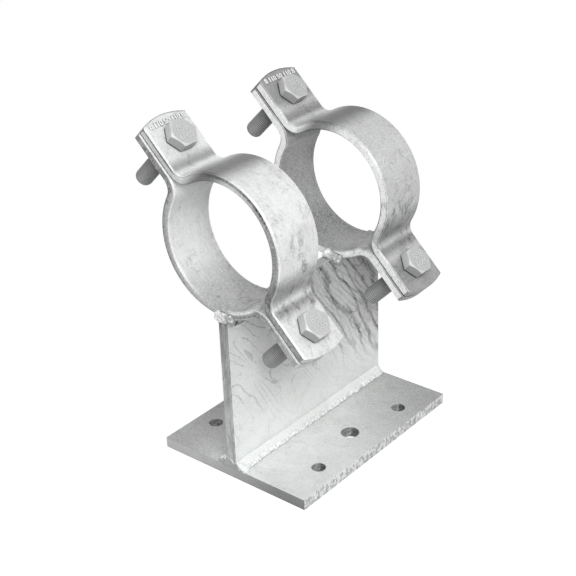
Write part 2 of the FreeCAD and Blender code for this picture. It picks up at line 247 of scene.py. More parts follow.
def plain_shader(n, kind, level, strength=None):
    """A grey shader of one level."""
    node = n.add(kind)
    node.inputs["Color"].default_value = (level, level, level, 1)
    if strength is not None:
        node.inputs["Strength"].default_value = strength
    return node.outputs[0]


SKY_LEVEL = 0.24       # light from all round
FLOOR_GLOW = 0.93      # white of the paper where it is seen
FLOOR_LIT = 0.22       # share of it that takes shadow
FLOOR_BOUNCE = 0.5     # grey of the paper in the light that it throws back
FLOOR_REACH = 6.0      # metres from the middle to the paper's edge


def paint_world():
    """White where it is seen, a dim even sky for the light that it gives."""
    world = bpy.data.worlds.new("studio")
    scene.world = world
    world.use_nodes = True
    n = Nodes(world.node_tree)
    sky = plain_shader(n, "ShaderNodeBackground", 1, SKY_LEVEL)
    plain = plain_shader(n, "ShaderNodeBackground", 1, 1.0)
    n.feed(n.add("ShaderNodeOutputWorld").inputs[0], n.either(seen_or_mirrored(n), sky, plain))


paint_world()


def make_floor():
    """White paper that still takes the object's soft shadow."""
    mesh = bpy.data.meshes.new("floor")
    corners = [(x * FLOOR_REACH, y * FLOOR_REACH, 0) for x, y in ((-1, -1), (1, -1), (1, 1), (-1, 1))]
    mesh.from_pydata(corners, [], [(0, 1, 2, 3)])
    floor = bpy.data.objects.new("floor", mesh)
    scene.collection.objects.link(floor)
    paper = bpy.data.materials.new("paper")
    paper.use_nodes = True
    n = Nodes(paper.node_tree)
    seen = n.add("ShaderNodeAddShader")
    n.feed(seen.inputs[0], plain_shader(n, "ShaderNodeBsdfDiffuse", FLOOR_LIT))
    n.feed(seen.inputs[1], plain_shader(n, "ShaderNodeEmission", 1, FLOOR_GLOW))
    bounce = plain_shader(n, "ShaderNodeBsdfDiffuse", FLOOR_BOUNCE)
    both = n.either(seen_or_mirrored(n), bounce, seen.outputs[0])
    n.feed(n.add("ShaderNodeOutputMaterial").inputs[0], both)
    mesh.materials.append(paper)


make_floor()


# Materials. How fine each noise is, in waves a metre:
CLOUDS = 32
STAINS = 60
PATCHES = 150
SPECKS = 380
PITS = 520
GRAIN = 620

METAL_SHARE = 0.1
DRAWN_SHARE = 0.34          # strength of a grain drawn along the metal
CLOSE_CONTACT = 1.8 * MM    # reach of the painted shade line where two pieces meet
WIDE_CONTACT = 26.0 * MM    # reach of the soft painted shade in a corner
WIDE_LEAST = 0.7            # how dark that shade gets
RELIEF = 0.5 * MM           # height of the fine bumps
LINE_WIDTH = 1.7 * MM       # painted shade line along a clamp's far edges
FLOW_TURN = math.radians(-36)
PLATE_SIDE = 80.0 * MM
SPLIT_BLEND = 1.0 * MM      # half the width over which one half's shading gives way to the other's
BEND_SWAP = 10.0 * MM       # the same between the upper and the lower bends
# Place and size of the painted shadow under the near clamp's bead
HOLLOW_SHADOW_Y, HOLLOW_SHADOW_Z = -95.5 * MM, 150.0 * MM
HOLLOW_SHADOW_LONG, HOLLOW_SHADOW_HIGH = 3.6 * MM, 1.6 * MM


def far_edge_shade_line(n, depth):
    """Thin painted shade line along the edges that turn away up the clamp."""
    turned = n.vectors("SUBTRACT", n.rounded(LINE_WIDTH, 6), n.normal("Normal"))
    return n.spread(n.vectors("DOT_PRODUCT", turned, -ACROSS), 0.03, 0.26, 1.0, 1.0 - depth)


def zinc(name, level, rough=0.42, grain=0.16, mottle=0.2, edge_radius=0.7 * MM, edge_highlight=0.3,
         contact_shade=0.75, bump=0.35, smudge=0.2, gloss=0.22, shade=None, streak=None, far_edge_shade=0.0):
    """Hot-dip zinc: cloudy patches, fine grain, a painted highlight on the edges, painted
    shade where pieces meet and in corners. shade(n) gives one more factor on the colour,
    streak(n) a drawn grain of 0 to 1, and far_edge_shade is the depth of a thin painted
    shade line along the far edges."""
    material = bpy.data.materials.new(name)
    material.use_nodes = True
    n = Nodes(material.node_tree)
    plain = n.place()
    clouds = n.noise(plain, CLOUDS, detail=4, rough=0.6, warp=0.6)
    patches = n.noise(plain, PATCHES, detail=5, rough=0.7, warp=0.4)
    fine = n.noise(plain, GRAIN, detail=3, rough=0.75)
    value = n.waver(1.0, clouds, mottle * 1.3)
    value = n.times(value, n.waver(1.0, patches, mottle))
    value = n.times(value, n.waver(1.0, fine, grain * 2))
    stains = n.spread(n.noise(plain, STAINS, detail=9, rough=0.78, warp=0.8), 0.5, 0.64)
    specks = n.spread(n.noise(plain, SPECKS, detail=3, rough=0.7), 0.35, 0.65)
    value = n.dim(value, n.times(n.times(stains, specks), smudge))
    drawn = patches
    if streak:
        drawn = streak(n)
        value = n.times(value, n.waver(1.0, drawn, DRAWN_SHARE))
    if shade:
        value = n.times(value, shade(n))
    # Painted highlight along the rounded edges
    rounded = n.rounded(edge_radius, 4)
    edge = n.spread(n.vectors("DOT_PRODUCT", rounded, n.normal()), 0.998, 0.93)
    value = n.times(value, n.maths("MULTIPLY_ADD", edge, edge_highlight, 1.0))
    # Painted shade line along the far edges
    if far_edge_shade:
        value = n.times(value, far_edge_shade_line(n, far_edge_shade))
    # Painted shade where pieces meet and in corners, from the occlusion nearby
    for reach, least, low, high in (
            (CLOSE_CONTACT, 1.0 - contact_shade, 0.4, 0.85),
            (WIDE_CONTACT, WIDE_LEAST, 0.15, 0.95)):
        hollow = n.add("ShaderNodeAmbientOcclusion", samples=8)
        hollow.inputs["Distance"].default_value = reach
        value = n.times(value, n.spread(hollow.outputs["AO"], low, high, least, 1.0))
    base = n.add("ShaderNodeCombineColor")
    cool = n.waver(1.0, clouds, -0.05)
    n.feed(base.inputs[0], n.times(n.times(value, level * 0.985), cool))
    n.feed(base.inputs[1], n.times(value, level))
    n.feed(base.inputs[2], n.times(value, level * 0.99))
    shader = n.add("ShaderNodeBsdfPrincipled")
    n.feed(shader.inputs["Base Color"], base.outputs[0])
    shader.inputs["Metallic"].default_value = METAL_SHARE
    shader.inputs["Specular IOR Level"].default_value = gloss
    n.feed(shader.inputs["Roughness"], n.maths("MULTIPLY_ADD", patches, 0.2, rough - 0.1))
    height = n.maths("MULTIPLY_ADD", patches, 0.6, n.times(fine, 0.4))
    height = n.maths("MULTIPLY_ADD", drawn, 0.35, height)
    relief = n.add("ShaderNodeBump")
    relief.inputs["Strength"].default_value = bump
    relief.inputs["Distance"].default_value = RELIEF
    n.feed(relief.inputs["Height"], height)
    n.feed(relief.inputs["Normal"], rounded)
    n.feed(shader.inputs["Normal"], relief.outputs[0])
    n.feed(n.add("ShaderNodeOutputMaterial").inputs[0], shader.outputs[0])
    return material


def faces_front(n):
    """1 on faces that look along -Y."""
    return n.spread(n.split(n.normal())["Y"], -0.8, -0.97)


def cut_marks(n, stretch, scale):
    """Short broken marks of a sheared edge."""
    return n.spread(n.noise(n.place(stretch), scale, detail=3, rough=0.7, warp=0.4), 0.42, 0.6)


def plate_shade(n):
    """Painted light beside the web, painted shade with more grain towards the far corner
    and the near left one, painted shade on the near end, sheared edges, and painted
    shade on the walls of the holes."""
    x, y, z = n.axes()
    below_top = n.spread(z, BASE_TOP - 0.6 * MM, BASE_TOP - 0.2 * MM, 1.0, 0.0)
    sand = n.sand(GRAIN, 3.0, -1.5)
    # Painted light beside the web, painted shade towards the far corner and the near left one
    far = n.spread(n.maths("MULTIPLY_ADD", x, 0.7, y), 0.0, 150 * MM, 1.0, 0.55)
    leftward = n.maths("MULTIPLY_ADD", x, 1.2, n.times(y, 0.6))
    lit = n.times(far, n.spread(leftward, -40 * MM, -140 * MM, 1.0, 0.6))
    value = n.maths("MAXIMUM", lit, n.times(below_top, 0.95))
    grainy = n.times(n.maths("SUBTRACT", 1.08, lit), sand)
    value = n.times(value, n.maths("MULTIPLY_ADD", grainy, 0.9, 1.0))
    # Painted shade on the near end face, darker to the right, with grain
    end = n.maths("MULTIPLY_ADD", sand, 0.3, n.spread(x, -60 * MM, 70 * MM, 0.1, 0.62))
    value = n.dim(value, n.times(faces_front(n), end))
    side = n.spread(x, PLATE_SIDE - 0.2 * MM, PLATE_SIDE - 0.05 * MM)
    marks = n.maths("MULTIPLY_ADD", cut_marks(n, (1, 1, 0.7), 250), -0.62, 0.3)
    value = n.times(value, n.maths("MULTIPLY_ADD", marks, side, 1.0))
    # Painted shade with specks on the walls of the holes
    wall = below_top
    for axis, edge in ((x, PLATE_SIDE), (y, END_Y)):
        wall = n.times(wall, n.spread(n.maths("ABSOLUTE", axis), edge - 1.5 * MM, edge - 1.2 * MM, 1.0, 0.0))
    hole_shade = n.maths("MULTIPLY_ADD", cut_marks(n, (1, 1, 1), 500), 0.5, 0.15)
    return n.dim(value, n.times(wall, hole_shade))


def flow_lines(n, per_metre, sway, thin, seed):
    """Dark lines like wood grain down the web's side, wavering by sway line spacings."""
    turned = n.place((1, 1, 0.4), (FLOW_TURN, 0, 0))
    moved = n.vectors("ADD", turned, (seed, seed * 0.7, seed * 1.3))
    straight = n.times(n.split(turned)["Y"], per_metre)
    phase = n.maths("MULTIPLY_ADD", n.noise(moved, 30, detail=1.5, rough=0.5, warp=0.4), sway, straight)
    phase = n.maths("MULTIPLY_ADD", n.noise(n.place(), 300, detail=4, rough=0.75), 0.7, phase)
    return n.spread(n.maths("PINGPONG", phase, 0.5), 0.0, thin, 1.0, 0.0)


def flow_marks(n, far, z):
    """Bold slanting streaks where far is 1, thin wandering lines elsewhere."""
    bold = flow_lines(n, per_metre=88, sway=3.8, thin=0.28, seed=3.1)
    fine = flow_lines(n, per_metre=210, sway=7.0, thin=0.3, seed=5.7)
    thin = flow_lines(n, per_metre=62, sway=9.0, thin=0.11, seed=8.4)
    broken = n.spread(n.noise(n.place(), 45, detail=4), 0.37, 0.52)
    worn = n.maths("MULTIPLY_ADD", n.noise(n.place(), 110, detail=6, rough=0.8), 1.1, 0.2)
    grained = n.maths("MULTIPLY_ADD", fine, 0.3, n.times(bold, 0.9))
    strong = n.times(n.times(grained, worn), n.times(far, 0.72))
    wandering = n.maths("MAXIMUM", thin, n.times(fine, 0.1))
    weak = n.times(n.times(wandering, broken), n.spread(z, 20 * MM, 100 * MM, 0.07, 0.42))
    return n.maths("ADD", strong, weak)


def bead_hollow_shadow(n, x, y, z):
    """1 in the small oval of painted shadow under the near clamp's bead."""
    along = n.maths("DIVIDE", n.maths("SUBTRACT", y, HOLLOW_SHADOW_Y), HOLLOW_SHADOW_LONG)
    across = n.maths("DIVIDE", n.maths("SUBTRACT", z, HOLLOW_SHADOW_Z), HOLLOW_SHADOW_HIGH)
    oval = n.maths("MULTIPLY_ADD", along, along, n.times(across, across))
    return n.times(n.spread(oval, 1.2, 0.6), n.spread(x, 0.0, 4 * MM))


def web_shade(n):
    """Drained zinc on the web's side: streaks high up at the far end, painted light near
    the foot and painted shade higher up and further back, the top face painted a flat grey,
    painted shade with cut marks on the near end, and a painted shadow under the near
    clamp's bead."""
    x, y, z = n.axes()
    far = n.spread(n.maths("MULTIPLY_ADD", z, 0.8, y), 50 * MM, 140 * MM)
    far = n.times(far, n.spread(n.maths("MULTIPLY_ADD", y, 0.45, z), 60 * MM, 100 * MM))
    value = n.maths("SUBTRACT", 1.0, flow_marks(n, far, z), clamp=True)
    # Painted light near the foot, painted shade higher up and among the far streaks
    value = n.times(value, n.spread(z, 30 * MM, 150 * MM, 1.1, 0.84))
    value = n.times(value, n.spread(far, 0.0, 1.0, 1.0, 0.9))
    # Painted shade further back, high up
    away = n.times(n.spread(y, -30 * MM, 70 * MM, 0.0, 0.14), n.spread(z, 60 * MM, 100 * MM))
    value = n.dim(value, away)
    # The top face painted a flat grey
    top = n.spread(z, WEB_TOP - 0.3 * MM, WEB_TOP - 0.1 * MM)
    value = n.maths("MULTIPLY_ADD", n.maths("SUBTRACT", 0.66, value), top, value)
    # Painted shadow under the near clamp's bead
    value = n.dim(value, n.times(bead_hollow_shadow(n, x, y, z), 0.8))
    # Painted shade with cut marks on the near end face, darker higher up
    marks = cut_marks(n, (1, 1, 0.16), 300)
    end = n.maths("MULTIPLY_ADD", marks, 0.2, n.spread(z, 110 * MM, 150 * MM, 0.33, 0.46))
    return n.dim(value, n.times(faces_front(n), end))


def clamp_radius(n, x, up):
    """Distance from the clamp's axis."""
    return n.maths("SQRT", n.maths("MULTIPLY_ADD", x, x, n.times(up, up)))


def round_the_ring(n):
    """Fine grain drawn along the rolled bar."""
    x, y, z = n.axes()
    up = n.maths("SUBTRACT", z, AXIS_Z)
    rolled = n.add("ShaderNodeCombineXYZ")
    n.feed(rolled.inputs[0], n.times(n.maths("ARCTAN2", up, x), 12 * MM))
    n.feed(rolled.inputs[1], y)
    n.feed(rolled.inputs[2], clamp_radius(n, x, up))
    return n.noise(rolled.outputs[0], 420, detail=4, rough=0.7, warp=0.3)


def scuffs(n):
    """Grey scratches and blots along the rolled bar."""
    drawn = n.spread(n.noise(n.place((1, 1, 0.4)), 170, detail=6, rough=0.78, warp=0.5), 0.46, 0.62)
    blots = n.spread(n.noise(n.place(), 46, detail=5, rough=0.7, warp=0.5), 0.42, 0.6)
    return n.times(drawn, blots)


# A point on a clamp: slant grows from the upper lugs to the lower ones, along is the
# distance either way from the middle, out the distance from the split, on the heads' side.
RingPoint = namedtuple("RingPoint", "x z slant along out radius")


def ring_point(n):
    x, y, z = n.axes()
    up = n.maths("SUBTRACT", z, AXIS_Z)
    slant = n.maths("SUBTRACT", x, up)
    along = n.maths("ABSOLUTE", n.times(slant, math.cos(LEAN)))
    out = n.times(n.maths("ADD", x, up), math.sin(LEAN))
    return RingPoint(x, z, slant, along, out, clamp_radius(n, x, up))


def bend_shade_and_highlight(n, at):
    """Painted shade across the outer side of the bends, and a painted highlight on the upper ones."""
    crease = n.times(n.between(at.along, 66 * MM, 71 * MM, 72 * MM, 82 * MM), 0.52)
    upper = n.times(n.between(at.along, 26 * MM, 46 * MM, 50 * MM, 61 * MM),
                    n.spread(at.slant, -BEND_SWAP, BEND_SWAP, 0.74, 0.0))
    lower = n.times(n.between(at.along, 50 * MM, 58 * MM, 62 * MM, 68 * MM),
                    n.spread(at.slant, -BEND_SWAP, BEND_SWAP, 0.0, 0.42))
    bend_highlight = n.times(n.between(at.along, 58 * MM, 62 * MM, 64 * MM, 68 * MM),
                    n.spread(at.slant, -BEND_SWAP, BEND_SWAP, 1.0, 0.0))
    outer = n.spread(at.out, 7.8 * MM, 8.3 * MM)
    bend_shade = n.maths("ADD", crease, n.maths("ADD", upper, lower))
    return n.times(bend_shade, outer), n.times(bend_highlight, outer)


def inside_shade(n, at, facing, pitted, rear):
    """Painted shade with pits low down inside the ring and in its inner bends."""
    inside = n.spread(at.radius, BORE + 0.2 * MM, BORE + 1.0 * MM, 1.0, 0.0)
    inner_bend = n.times(n.spread(facing, 0.2, 0.5), n.spread(at.out, -0.9 * MM, -0.5 * MM, 1.0, 0.0))
    low = n.spread(at.z, 166 * MM, 196 * MM, 0.2 if rear else 0.36, 0.0)
    if rear:
        low = n.maths("ADD", low, n.spread(at.x, -50 * MM, 20 * MM, 0.4, 0.1))
    return n.times(n.maths("MAXIMUM", inside, inner_bend), n.times(low, pitted))


def front_shade_and_pits(n, at, pitted):
    """The near clamp's front edge: painted shade with pits on the cover's lower part, along
    the outer side and across the upper lug, with a painted highlight on the inner rim
    beside the bead."""
    in_cover = n.spread(at.out, -SPLIT_BLEND, SPLIT_BLEND)
    in_lower = n.spread(at.out, -SPLIT_BLEND, SPLIT_BLEND, 1.0, 0.0)
    cover = n.times(in_cover, n.spread(at.slant, -50 * MM, 30 * MM, -0.02, 0.40))
    early = n.times(n.between(at.slant, -80 * MM, -55 * MM, 0.0, 30 * MM), 0.42)
    early = n.times(early, n.spread(at.radius, BORE + 3.5 * MM, BORE + 4.8 * MM))
    cover = n.maths("MULTIPLY_ADD", in_cover, early, cover)
    lower = n.times(in_lower, n.spread(at.slant, -40 * MM, 50 * MM, 0.2, 0.02))
    outer = n.times(in_lower, n.spread(at.radius, BORE + 2 * MM, BORE + 7 * MM, 0.0, 0.26))
    past_bead = n.times(n.spread(at.x, 4 * MM, 12 * MM), in_lower)
    past_bead = n.times(past_bead, n.spread(at.along, 62 * MM, 74 * MM, 1.0, 0.0))
    rim_light = n.spread(at.radius, BORE + 1.8 * MM, BORE + 4.5 * MM, -0.5, 0.2)
    outer = n.maths("MULTIPLY_ADD", past_bead, rim_light, outer)
    lug_band = n.spread(at.out, 4.5 * MM, 6.6 * MM, 0.0, 0.62)
    lug_band = n.times(lug_band, n.spread(at.slant, -92 * MM, -100 * MM))
    marks = n.maths("ADD", n.maths("ADD", cover, lower), n.maths("ADD", outer, lug_band))
    return n.times(n.maths("ADD", marks, 0.14), pitted)


def ring_shade(n, rear):
    """A rolled half: painted shade and a painted highlight on its bends, painted shade
    inside, at its lugs' ends and on its front edge, and scuffs. The rear clamp and its lugs
    are painted darker, as if in shade, and its front edge lighter."""
    at = ring_point(n)
    facing = n.vectors("DOT_PRODUCT", n.normal(), OUTWARD)
    front = faces_front(n)
    pitted = n.sand(PITS, 3.0, -0.5)
    bend_shade, bend_highlight = bend_shade_and_highlight(n, at)
    painted_shade = n.maths("MAXIMUM", bend_shade, inside_shade(n, at, facing, pitted, rear))
    painted_shade = n.maths("MULTIPLY_ADD", bend_highlight, -0.15, painted_shade)
    # The rear clamp painted darker, as if in shade
    value = n.times(n.maths("SUBTRACT", 1.0, painted_shade), 0.8 if rear else 1.0)
    # Painted shade on the rear clamp's lugs
    lug = n.spread(at.along, 78 * MM, 90 * MM, 1.0, 0.6 if rear else 1.0)
    value = n.times(value, n.maths("MAXIMUM", lug, front))
    # Painted shade where the upper lugs' ends turn away, off the front faces
    lug_end_shade = n.spread(n.maths("ABSOLUTE", facing), 0.75, 0.4)
    lug_end_shade = n.times(lug_end_shade, n.spread(at.slant, -135 * MM, -140 * MM))
    value = n.dim(value, n.times(n.dim(lug_end_shade, front), 0.6))
    blotched = n.times(n.spread(at.slant, 20 * MM, 70 * MM), n.spread(at.along, 74 * MM, 86 * MM, 1.0, 0.4))
    value = n.dim(value, n.times(scuffs(n), n.times(blotched, 0.6)))
    # Front faces: painted shade with pits on the near clamp, painted light on the rear one
    return n.dim(value, n.times(front, -0.55 if rear else front_shade_and_pits(n, at, pitted)))


def head_shade(n):
    """A bolt head's bevel catches more light than its flat top, its sides by their tilt."""
    tilt = n.vectors("DOT_PRODUCT", n.normal(), OUTWARD)
    bevel = n.between(tilt, 0.78, 0.84, 0.93, 0.98)
    rise = n.split(n.normal())["Z"]
    side_light = n.maths("ADD", n.spread(rise, 0.12, 0.5, -0.27, 0.4), n.spread(rise, -0.7, -0.4, 0.12, 0.0))
    sides = n.times(n.spread(tilt, 0.2, 0.6, 1.0, 0.0), side_light)
    return n.maths("ADD", n.maths("MULTIPLY_ADD", bevel, 0.2, 1.0), sides)


def bead_shade(n):
    """Lighter on the left, greyer and gritty to the right."""
    x, y, z = n.axes()
    above = n.spread(z, WEB_TOP - 9.5 * MM, WEB_TOP - 8 * MM, 0.0, -0.46)
    grey = n.times(n.spread(x, 0.0, 6 * MM), above)
    return n.maths("MULTIPLY_ADD", grey, n.sand(PITS, 2.4, -0.2), 1.0)


def end_shade(n):
    """Painted shade on a foot bead's end where it faces forward, most on the left."""
    x, y, z = n.axes()
    forward = n.spread(n.split(n.normal("Normal"))["Y"], -0.55, -0.85)
    return n.maths("SUBTRACT", 1.0, n.times(forward, n.spread(x, 6 * MM, 9 * MM, 0.46, 0.1)))


def foot_shade(n):
    """Crumbly grey and white along the bead's lower toe, smooth towards the web."""
    x, y, z = n.axes()
    toe = n.spread(z, BASE_TOP + 1.5 * MM, BASE_TOP + 4.5 * MM, 1.0, 0.0)
    crumbs = n.spread(n.noise(n.place(), 420, detail=3, rough=0.7), 0.42, 0.6)
    return n.maths("MULTIPLY_ADD", toe, n.maths("MULTIPLY_ADD", crumbs, -0.4, 0.12), 1.0)


def thread_shade(n):
    """Painted shade in the thread's grooves, a painted highlight on its crests."""
    groove = n.add("ShaderNodeAttribute", attribute_name="groove").outputs["Fac"]
    return n.maths("MULTIPLY_ADD", groove, -0.75, 1.15)


STRAP = dict(contact_shade=0.85, far_edge_shade=0.7, edge_highlight=0.45, smudge=0.35, streak=round_the_ring)
BEAD = dict(edge_radius=0.2 * MM, edge_highlight=0.1)

plate_zinc = zinc("plate_zinc", 0.87, grain=0.2, contact_shade=0.2, shade=plate_shade)
web_zinc = zinc("web_zinc", 0.9, contact_shade=0.06, grain=0.28, smudge=0.1, edge_highlight=0.6, shade=web_shade)
near_strap = zinc("strap_zinc_near", 0.85, rough=0.36, grain=0.25,
                  shade=lambda n: ring_shade(n, False), **STRAP)
far_strap = zinc("strap_zinc_far", 0.84, rough=0.38, grain=0.5,
                 shade=lambda n: ring_shade(n, True), **STRAP)
head_zinc = zinc("bolt_zinc", 0.6, rough=0.5, mottle=0.07, grain=0.1, edge_radius=0.35 * MM,
                 smudge=0.1, shade=head_shade)
thread_zinc = zinc("thread_zinc", 0.42, rough=0.5, mottle=0.1, edge_radius=0.05 * MM, edge_highlight=0.0,
                   contact_shade=0.3, shade=thread_shade)
mark_zinc = zinc("bolt_zinc_mark", 0.74, rough=0.5, mottle=0.07, edge_radius=0.1 * MM, edge_highlight=0.2,
                 contact_shade=0.3)
lug_mark_zinc = zinc("strap_zinc_mark", 0.9, mottle=0.1, contact_shade=0.5, **BEAD)
weld_zinc = zinc("weld_zinc", 0.92, rough=0.3, mottle=0.25, grain=0.4, bump=0.8, smudge=0.25, gloss=0.5,
                 contact_shade=0.6, shade=bead_shade, **BEAD)
end_zinc = zinc("weld_zinc_end", 0.92, rough=0.35, mottle=0.25, grain=0.35, bump=0.7, contact_shade=0.3,
                shade=end_shade, **BEAD)
foot_zinc = zinc("weld_zinc_foot", 0.93, mottle=0.15, grain=0.2, bump=0.5, smudge=0.0, contact_shade=0.0,
                 shade=foot_shade, **BEAD)


def dress(node_name, material):
    """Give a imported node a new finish."""
    mesh = nodes[node_name].data
    mesh.materials.clear()
    mesh.materials.append(material)


dress("base_plate", plate_zinc)
dress("web_plate", web_zinc)
for half in ("lower", "cover"):
    dress(f"clamp_{half}_front", near_strap)
    dress(f"clamp_{half}_rear", far_strap)


# Helpers for new pieces

def add_piece(name, mesh, material, slot, *stands_for):
    """A new piece that rides on the part, in place of the nodes named last."""
    mesh.materials.append(material)
    piece = bpy.data.objects.new(name, mesh)
    scene.collection.objects.link(piece)
    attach(piece, "root")
    if stands_for:
        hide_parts(*stands_for)
    return piece


def skin(name, rings, smooth=True):
    """A tube through rings of points, all with the same count, closed at both ends."""
    count = len(rings[0])
    points = [p for ring in rings for p in ring]
    faces = []
    for row in range(len(rings) - 1):
        for i in range(count):
            j = (i + 1) % count
            a, b = row * count, (row + 1) * count
            faces.append((a + i, a + j, b + j, b + i))
    faces.append(tuple(reversed(range(count))))
    last = (len(rings) - 1) * count
    faces.append(tuple(last + i for i in range(count)))
    mesh = bpy.data.meshes.new(name)
    mesh.from_pydata(points, [], faces)
    mesh.validate()
    if smooth:
        mesh.shade_smooth()
    return mesh


def lug_frame(clamp, reach, first, second):
    """A place on the lugs' face, reach down from the middle, with these axes as columns."""
    seat = Vector((0, CLAMP_FACE[clamp] + BAND_WIDE / 2, AXIS_Z)) + OUTWARD * LUG_TOP
    turn = Matrix((first, second, OUTWARD)).transposed().to_4x4()
    return Matrix.Translation(seat + ACROSS * reach) @ turn


# Bolts

HEAD_STEPS = 96        # points round a head
BEVEL_RISE = 0.577     # fall of the bevel for each step out, 30 degrees
TOP_FLAT = 0.95        # part of the flats' half width that is level
THREAD_STEPS = 48      # points round a thread
ROWS_PER_TURN = 8
THREAD_DEEP = 1.0 * MM
RUN_IN = 2.0 * MM      # the thread fades in under the head
TIP_LONG = 2.6 * MM    # length of the rounded tip
TIP_DROP = 2.0 * MM    # how much thinner its end is
FIGURE_TALL = 7.6 * MM
FIGURE_DEEP = 0.25 * MM
FIGURE_BEVEL = 0.45    # part of their depth that is rounded
FIGURE_TURN = math.radians(86)
FIGURE_ROWS = (("888", 3.6 * MM), ("1665", -4.0 * MM))    # words and place on the head


def hexagon_reach(angle):
    """Distance from a head's axis to its side; a corner points to -Y."""
    part = math.radians(60)
    inside = (angle + math.radians(90)) % part - part / 2
    return HEAD_FLATS / 2 / math.cos(inside)


def head_profile(side):
    """Reach and height of a head's outline, from its seat to the middle of its top, where
    its side is this far from its axis."""
    level = TOP_FLAT * HEAD_FLATS / 2

    def bevel(reach):
        return HEAD_HIGH - max(0.0, reach - level) * BEVEL_RISE

    half_way = (side + level) / 2
    return (
        (SHANK_R * 0.98, 0.0),
        (side - 1.5 * MM, 0.0),
        (side - 1.2 * MM, 0.8 * MM),
        (side - 0.2 * MM, 0.9 * MM),
        (side, 1.1 * MM),
        (side, bevel(side) - 0.3 * MM),
        (side - 0.25 * MM, bevel(side - 0.25 * MM)),
        (half_way, bevel(half_way)),
        (level, HEAD_HIGH),
        (level - 0.5 * MM, HEAD_HIGH),
        (level * 0.5, HEAD_HIGH),
        (0.2 * MM, HEAD_HIGH),
    )


def head_rings():
    """The rings of a head, from its seat to the middle of its top."""
    columns = []
    for i in range(HEAD_STEPS):
        angle = 2 * math.pi * i / HEAD_STEPS
        profile = head_profile(hexagon_reach(angle))
        columns.append([Vector((r * math.cos(angle), r * math.sin(angle), z)) for r, z in profile])
    return list(zip(*columns))


def shank_rings():
    """The rings of a threaded rod, and how deep in the groove each point lies."""
    rings, depths = [], []
    rows = int(SHANK_LONG / THREAD_PITCH * ROWS_PER_TURN)
    for row in range(rows + 1):
        depth = SHANK_LONG * row / rows
        left = SHANK_LONG - depth
        tip = SHANK_R
        if left < TIP_LONG:
            tip = SHANK_R - TIP_DROP * (1 - math.sqrt(1 - (1 - left / TIP_LONG) ** 2))
        fade = min(1.0, depth / RUN_IN)
        ring = []
        for i in range(THREAD_STEPS):
            angle = 2 * math.pi * i / THREAD_STEPS
            phase = (depth / THREAD_PITCH - i / THREAD_STEPS) % 1.0
            groove = 1 - abs(2 * phase - 1)
            groove = min(1.0, max(0.0, groove * 1.35 - 0.18))
            reach = min(tip, SHANK_R - THREAD_DEEP * groove * fade)
            depths.append(groove * fade)
            ring.append(Vector((reach * math.cos(angle), reach * math.sin(angle), -depth)))
        rings.append(ring)
    return rings, depths


def digits(name, words, tall, deep, slot, material, placed):
    """Raised plain figures, as a mesh lying in the plane of the matrix given."""
    curve = bpy.data.curves.new(name, "FONT")
    curve.body = words
    curve.size = tall
    curve.extrude = deep
    curve.bevel_depth = deep * FIGURE_BEVEL
    curve.bevel_resolution = 1
    curve.align_x = "CENTER"
    curve.align_y = "CENTER"
    maker = bpy.data.objects.new(name, curve)
    scene.collection.objects.link(maker)
    bpy.context.view_layer.update()
    finished = maker.evaluated_get(bpy.context.evaluated_depsgraph_get())
    mesh = bpy.data.meshes.new_from_object(finished)
    bpy.data.objects.remove(maker)
    mesh.name = name
    mesh.transform(placed)
    add_piece(name, mesh, material, slot)


def build_bolt(clamp, side_name, side):
    placed = lug_frame(clamp, side * BOLT_REACH, ACROSS, Vector((0, 1, 0)))
    name = f"bolt_{side_name}_{clamp}"
    rings = [[placed @ p for p in ring] for ring in head_rings()]
    head = skin(f"{name}_head", rings, smooth=False)
    add_piece(f"{name}_head", head, head_zinc, "bolt_zinc", name)
    rings, depths = shank_rings()
    shank = skin(f"{name}_thread", [[placed @ p for p in ring[::-1]] for ring in rings])
    # Each ring was turned round for the skin, so its depths are read backwards
    groove = shank.attributes.new("groove", "FLOAT", "POINT")
    for row in range(len(rings)):
        start = row * THREAD_STEPS
        for i in range(THREAD_STEPS):
            groove.data[start + i].value = depths[start + THREAD_STEPS - 1 - i]
    add_piece(f"{name}_thread", shank, thread_zinc, "bolt_zinc", name)
    turn = Matrix.Rotation(FIGURE_TURN, 4, "Z")
    for row, (words, up) in enumerate(FIGURE_ROWS):
        local = Matrix.Translation((0, 0, HEAD_HIGH)) @ turn @ Matrix.Translation((0, up, 0))
        digits(f"{name}_mark_{row}", words, FIGURE_TALL, FIGURE_DEEP, "bolt_zinc", mark_zinc, placed @ local)


for clamp_name in CLAMP_FACE:
    build_bolt(clamp_name, "upper", -1)
    build_bolt(clamp_name, "lower", 1)


# Welds

LUMP_GRAIN = 0.5 * MM    # how fine the skin over the balls is
BEAD_SPANS = {"heel": (-9.0, 8.0), "toe": (-2.5, 12.0)}    # from left to right, in mm
FLUSH_SPAN = (-6.0, 10.0)    # of the toe that ends level with the web
ROOM = 0.6 * MM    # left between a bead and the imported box
BEAD_PLACES = 34    # places along a bead, each with a ball in every layer
BEAD_LAYERS = 3
RUN_BALLS = 30    # of the zinc that ran down the web's side
LIP_BALLS = 18    # of the thin lip along its lower edge


